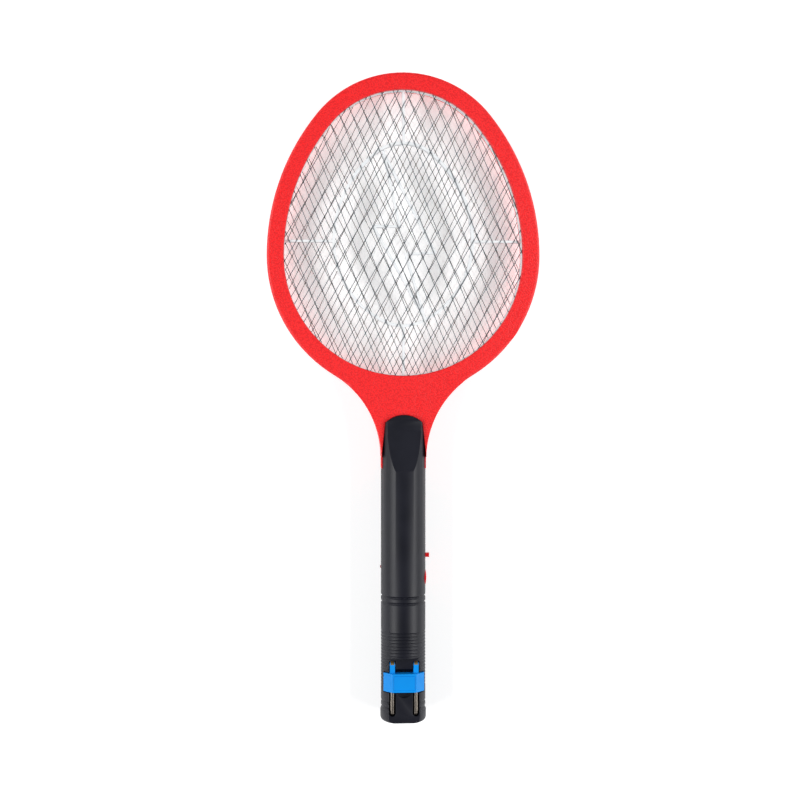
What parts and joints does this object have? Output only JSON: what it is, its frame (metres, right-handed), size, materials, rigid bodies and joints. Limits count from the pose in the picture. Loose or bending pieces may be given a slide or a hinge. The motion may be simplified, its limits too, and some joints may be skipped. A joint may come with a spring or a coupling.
{
  "type": "electric fly swatter",
  "caption": "Racket-shaped rechargeable fly swatter: oval three-layer mesh head, round two-shell handle, fold-out mains plug, slide switch and push button.",
  "frame": {"origin": "on the plane that the swatter lies on, under the middle of its length and of its width", "axes": "+Y along the handle from the butt to the head's tip, +Z out of the front face, which carries the plug, +X to the side of the push button"},
  "size_m": [0.2186, 0.5202, 0.0365],
  "materials": {
    "red_plastic": "moulded with a fine pebble grain, satin",
    "charcoal_plastic": "moulded, smooth satin",
    "blue_plastic": "moulded, semi-gloss",
    "white_plastic": "moulded, satin",
    "red_gloss": "moulded, gloss",
    "red_lamp": "tinted clear epoxy",
    "black_plastic": "moulded, matt",
    "guard_wire": "galvanised wire, dull",
    "bright_mesh": "bright steel mesh",
    "zinc_steel": "zinc plated",
    "switch_can": "tinned steel can",
    "nickel": "nickel plated brass",
    "brass": "spring brass",
    "green_board": "green solder mask",
    "tan_board": "phenolic board",
    "ferrite": "ferrite, matt",
    "yellow_tape": "polyester tape",
    "brown_film": "dipped film capacitor",
    "blue_ceramic": "dipped ceramic",
    "tan_ceramic": "lacquered",
    "battery_case": "moulded, matt",
    "brown_sleeve": "PVC insulation",
    "red_sleeve": "PVC insulation",
    "black_sleeve": "PVC insulation"
  },
  "bodies": {
    "racket": {"head_front_frame": "red_plastic", "head_rear_frame": "red_plastic", "head_screws": "zinc_steel", "front_guard_mesh": "guard_wire", "hv_mesh": "bright_mesh", "rear_guard_mesh": "guard_wire", "front_spacer": "white_plastic", "rear_spacer": "white_plastic", "mesh_clips": "brass", "handle_front_shell": "charcoal_plastic", "handle_rear_shell": "charcoal_plastic", "handle_screws": "zinc_steel", "plug_hinge_pin": "zinc_steel", "contact_springs": "brass", "switch_body": "switch_can", "button_switch": "black_plastic", "indicator_led": "red_lamp", "circuit_board": "green_board", "transformer_core": "ferrite", "transformer_coil": "yellow_tape", "hv_capacitor": "brown_film", "disc_capacitors": "blue_ceramic", "rectifier_diodes": "black_plastic", "transistor": "black_plastic", "resistors": "tan_ceramic", "battery": "battery_case", "battery_tabs": "brass", "charge_board": "tan_board", "charge_capacitor": "brown_film", "charge_diodes": "black_plastic", "mains_leads": "brown_sleeve", "charge_leads": "red_sleeve", "battery_leads": "black_sleeve", "hv_lead": "red_sleeve", "guard_lead": "black_sleeve"},
    "plug": {"plug_carrier": "blue_plastic", "plug_pins": "nickel", "plug_contacts": "brass"},
    "switch_slider": {"switch_knob": "red_gloss"},
    "push_button": {"button_cap": "red_gloss", "button_plunger": "white_plastic"}
  },
  "joints": [
    {"name": "plug_fold", "type": "hinge", "parent": "racket", "child": "plug", "pos_m": [0, -0.21337, 0.029], "axis": [-1, 0, 0], "range_deg": [0, 90]},
    {"name": "switch_slide", "type": "slide", "parent": "racket", "child": "switch_slider", "axis": [0, 1, 0], "range_m": [0, 0.0025]},
    {"name": "button_press", "type": "slide", "parent": "racket", "child": "push_button", "axis": [-1, 0, 0], "range_m": [0, 0.0015], "stiffness_N_per_m": 600, "springref_m": -0.0008}
  ]
}
